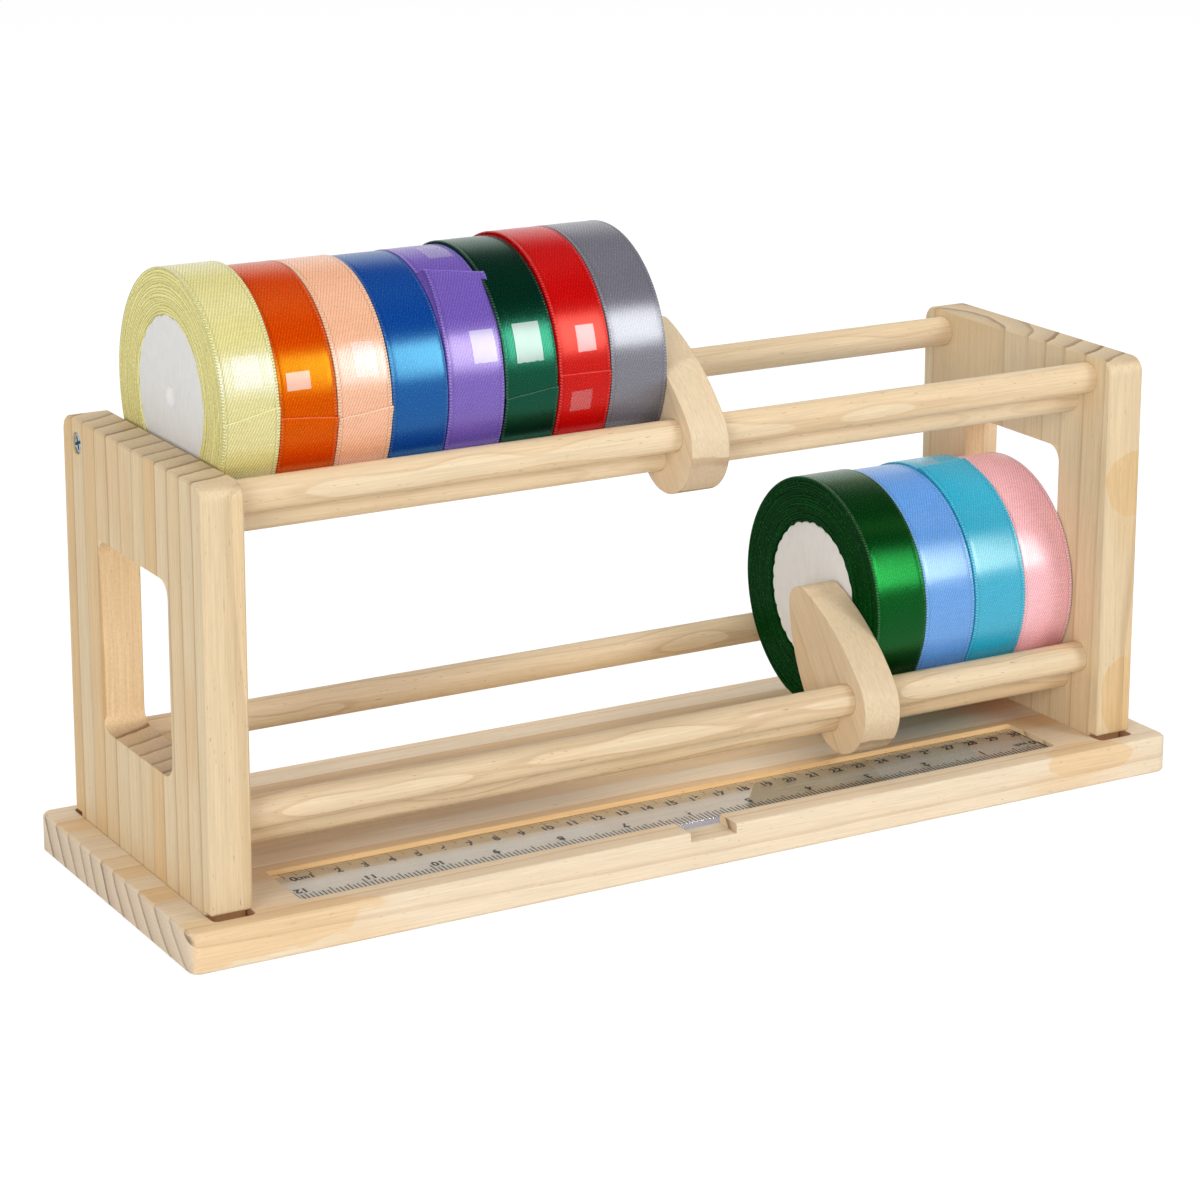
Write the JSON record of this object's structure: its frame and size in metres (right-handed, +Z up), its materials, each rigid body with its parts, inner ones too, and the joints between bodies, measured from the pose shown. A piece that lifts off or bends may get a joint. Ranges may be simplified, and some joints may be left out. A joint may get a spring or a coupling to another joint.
{
  "type": "ribbon spool dispenser",
  "caption": "Two-tier pine rack that holds satin ribbon rolls on dowels, with sliding egg-shaped dividers and a clear ruler let into the base for measuring ribbon.",
  "frame": {"origin": "middle of the base board's underside", "axes": "+X along the rack to the right as seen from the front, -Y towards the front where the ruler lies, +Z up"},
  "size_m": [0.395, 0.132, 0.2161],
  "materials": {
    "base_pine": "sanded, clear-finished pine with long grain along the base",
    "panel_pine": "sanded pine, edge-glued from upright strips",
    "dowel_pine": "turned and sanded pine",
    "divider_pine": "sanded pine plate",
    "clear_plastic": "clear acrylic rule with printed plain marks",
    "foam": "white expanded foam",
    "ribbon_pale_yellow": "satin ribbon, pale yellow",
    "ribbon_orange": "satin ribbon, orange",
    "ribbon_peach": "satin ribbon, peach",
    "ribbon_royal_blue": "satin ribbon, royal blue",
    "ribbon_lavender": "satin ribbon, lavender",
    "ribbon_dark_green": "satin ribbon, dark green",
    "ribbon_red": "satin ribbon, red",
    "ribbon_silver": "satin ribbon, silver",
    "ribbon_bottle_green": "satin ribbon, bottle green",
    "ribbon_cornflower": "satin ribbon, cornflower",
    "ribbon_turquoise": "satin ribbon, turquoise",
    "ribbon_pink": "satin ribbon, pink"
  },
  "bodies": {
    "rack": {"base_board": "base_pine", "left_end_panel": "panel_pine", "right_end_panel": "panel_pine", "upper_front_dowel": "dowel_pine", "upper_middle_dowel": "dowel_pine", "upper_back_dowel": "dowel_pine", "lower_front_dowel": "dowel_pine", "lower_middle_dowel": "dowel_pine", "lower_back_dowel": "dowel_pine"},
    "upper_divider": {"upper_divider": "divider_pine"},
    "lower_divider": {"lower_divider": "divider_pine"},
    "ruler": {"ruler": "clear_plastic"},
    "spool_pale_yellow": {"ribbon_pale_yellow": "ribbon_pale_yellow", "core_pale_yellow": "foam"},
    "spool_orange": {"ribbon_orange": "ribbon_orange", "core_orange": "foam"},
    "spool_peach": {"ribbon_peach": "ribbon_peach", "core_peach": "foam"},
    "spool_royal_blue": {"ribbon_royal_blue": "ribbon_royal_blue", "core_royal_blue": "foam"},
    "spool_lavender": {"ribbon_lavender": "ribbon_lavender", "core_lavender": "foam"},
    "spool_dark_green": {"ribbon_dark_green": "ribbon_dark_green", "core_dark_green": "foam"},
    "spool_red": {"ribbon_red": "ribbon_red", "core_red": "foam"},
    "spool_silver": {"ribbon_silver": "ribbon_silver", "core_silver": "foam"},
    "spool_pink": {"ribbon_pink": "ribbon_pink", "core_pink": "foam"},
    "spool_turquoise": {"ribbon_turquoise": "ribbon_turquoise", "core_turquoise": "foam"},
    "spool_cornflower": {"ribbon_cornflower": "ribbon_cornflower", "core_cornflower": "foam"},
    "spool_bottle_green": {"ribbon_bottle_green": "ribbon_bottle_green", "core_bottle_green": "foam"}
  },
  "joints": [
    {"name": "upper_divider_slide", "type": "slide", "parent": "rack", "child": "upper_divider", "axis": [1, 0, 0], "range_m": [0, 0.1614]},
    {"name": "lower_divider_slide", "type": "slide", "parent": "rack", "child": "lower_divider", "axis": [1, 0, 0], "range_m": [-0.2389, 0]},
    {"name": "ruler_tilt", "type": "hinge", "parent": "rack", "child": "ruler", "pos_m": [0, -0.0266, 0.0107], "axis": [-1, 0, 0], "range_deg": [0, 24]},
    {"name": "pale_yellow_spin", "type": "hinge", "parent": "rack", "child": "spool_pale_yellow", "pos_m": [-0.1603, 0.00404, 0.1727], "axis": [1, 0, 0], "continuous": true},
    {"name": "orange_spin", "type": "hinge", "parent": "rack", "child": "spool_orange", "pos_m": [-0.13975, 0.00418, 0.17147], "axis": [1, 0, 0], "continuous": true},
    {"name": "peach_spin", "type": "hinge", "parent": "rack", "child": "spool_peach", "pos_m": [-0.11945, 0.00418, 0.17147], "axis": [1, 0, 0], "continuous": true},
    {"name": "royal_blue_spin", "type": "hinge", "parent": "rack", "child": "spool_royal_blue", "pos_m": [-0.09915, 0.00422, 0.1711], "axis": [1, 0, 0], "continuous": true},
    {"name": "lavender_spin", "type": "hinge", "parent": "rack", "child": "spool_lavender", "pos_m": [-0.0783, 0.0042, 0.17129], "axis": [1, 0, 0], "continuous": true},
    {"name": "dark_green_spin", "type": "hinge", "parent": "rack", "child": "spool_dark_green", "pos_m": [-0.0577, 0.00412, 0.172], "axis": [1, 0, 0], "continuous": true},
    {"name": "red_spin", "type": "hinge", "parent": "rack", "child": "spool_red", "pos_m": [-0.0376, 0.00402, 0.17288], "axis": [1, 0, 0], "continuous": true},
    {"name": "silver_spin", "type": "hinge", "parent": "rack", "child": "spool_silver", "pos_m": [-0.01655, 0.00402, 0.17288], "axis": [1, 0, 0], "continuous": true},
    {"name": "pink_spin", "type": "hinge", "parent": "rack", "child": "spool_pink", "pos_m": [0.16, 0.00398, 0.06642], "axis": [1, 0, 0], "continuous": true},
    {"name": "turquoise_spin", "type": "hinge", "parent": "rack", "child": "spool_turquoise", "pos_m": [0.13755, 0.00385, 0.06761], "axis": [1, 0, 0], "continuous": true},
    {"name": "cornflower_spin", "type": "hinge", "parent": "rack", "child": "spool_cornflower", "pos_m": [0.11535, 0.00391, 0.06711], "axis": [1, 0, 0], "continuous": true},
    {"name": "bottle_green_spin", "type": "hinge", "parent": "rack", "child": "spool_bottle_green", "pos_m": [0.0937, 0.00385, 0.06761], "axis": [1, 0, 0], "continuous": true}
  ]
}
